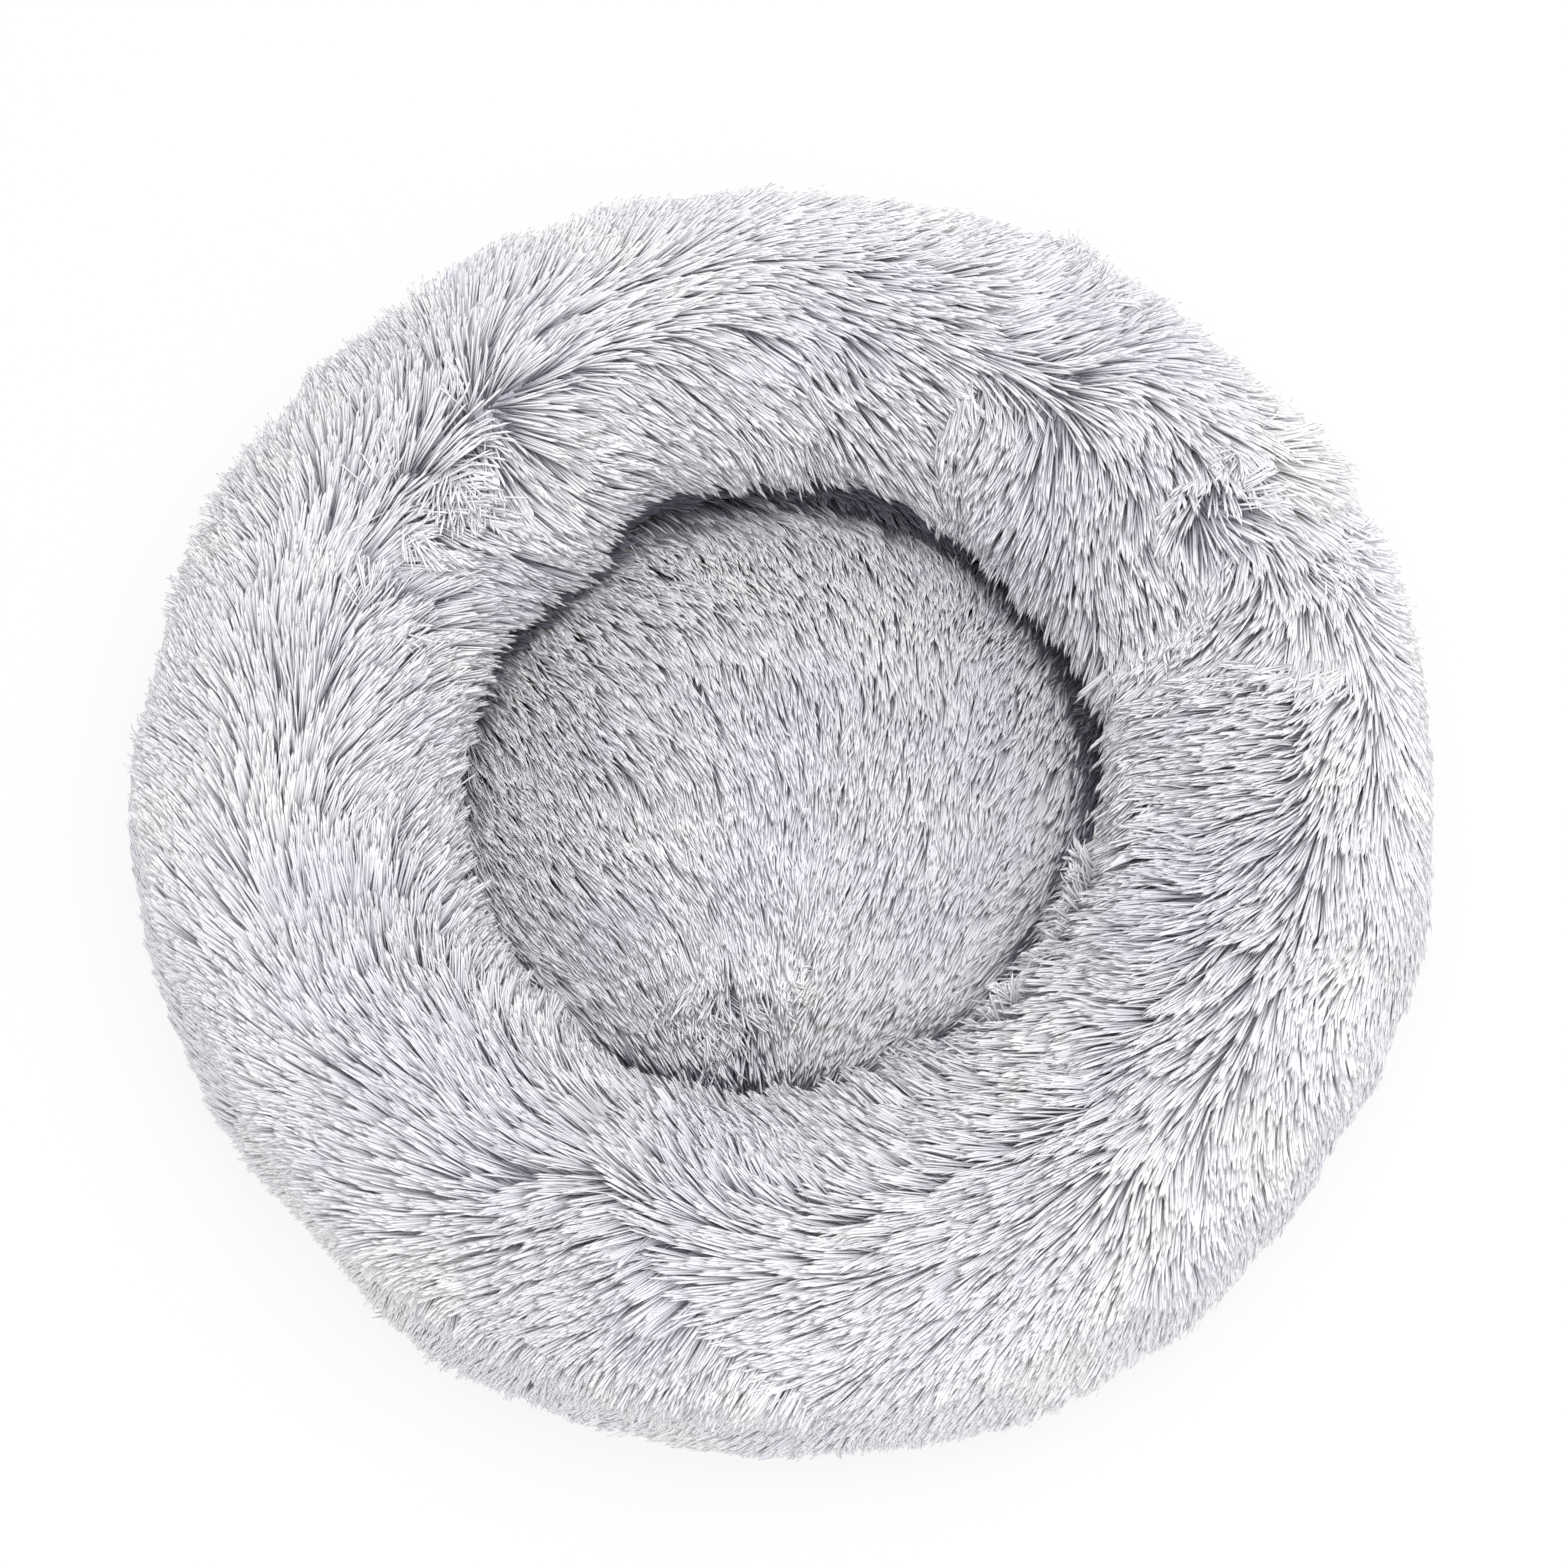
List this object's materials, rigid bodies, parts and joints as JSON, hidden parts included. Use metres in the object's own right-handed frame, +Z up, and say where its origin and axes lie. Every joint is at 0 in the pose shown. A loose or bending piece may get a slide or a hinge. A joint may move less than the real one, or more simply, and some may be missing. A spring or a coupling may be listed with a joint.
{
  "type": "donut pet bed",
  "caption": "Round donut bed for a cat or small dog: a raised long-pile plush rim round a crowned sleeping cushion, with a grip-dot base closed by a zip.",
  "frame": {"origin": "on the floor under the middle of the bed", "axes": "+Z up, +X the bed's right and the zip's closed end, +Y the back, away from whoever stands before it"},
  "size_m": [0.5015, 0.4951, 0.1471],
  "materials": {
    "plush": "long-pile faux fur, pale lavender grey, darker at the roots",
    "lining": "white non-woven, matte",
    "fibre": "white polyester fibre fill",
    "oxford": "grey coated oxford weave with moulded grip dots",
    "webbing": "grey woven tape",
    "thread": "grey polyester sewing thread",
    "tooth_plastic": "moulded acetal, satin",
    "nickel": "nickel plate, satin"
  },
  "bodies": {
    "bed": {"rim_cover": "plush", "rim_casing": "lining", "rim_filling": "fibre", "sleeping_panel": "plush", "pad_casing": "lining", "pad_filling": "fibre", "base_panel": "oxford", "zip_stitching": "thread", "zip_tape_back": "webbing", "zip_teeth_back": "tooth_plastic", "zip_top_stop_back": "nickel", "zip_tape_front": "webbing", "zip_teeth_front": "tooth_plastic", "zip_top_stop_front": "nickel", "zip_bottom_stop": "nickel"},
    "slider": {"zip_slider": "nickel"},
    "pull": {"zip_pull": "nickel"}
  },
  "joints": [
    {"name": "zip_slide", "type": "slide", "parent": "bed", "child": "slider", "axis": [-1, 0, 0], "range_m": [0, 0.221], "deforming": ["zip_teeth_back", "zip_teeth_front"]},
    {"name": "pull_swing", "type": "hinge", "parent": "slider", "child": "pull", "pos_m": [0.113, 0, 0.00402], "axis": [0, -1, 0], "range_deg": [0, 180]}
  ]
}
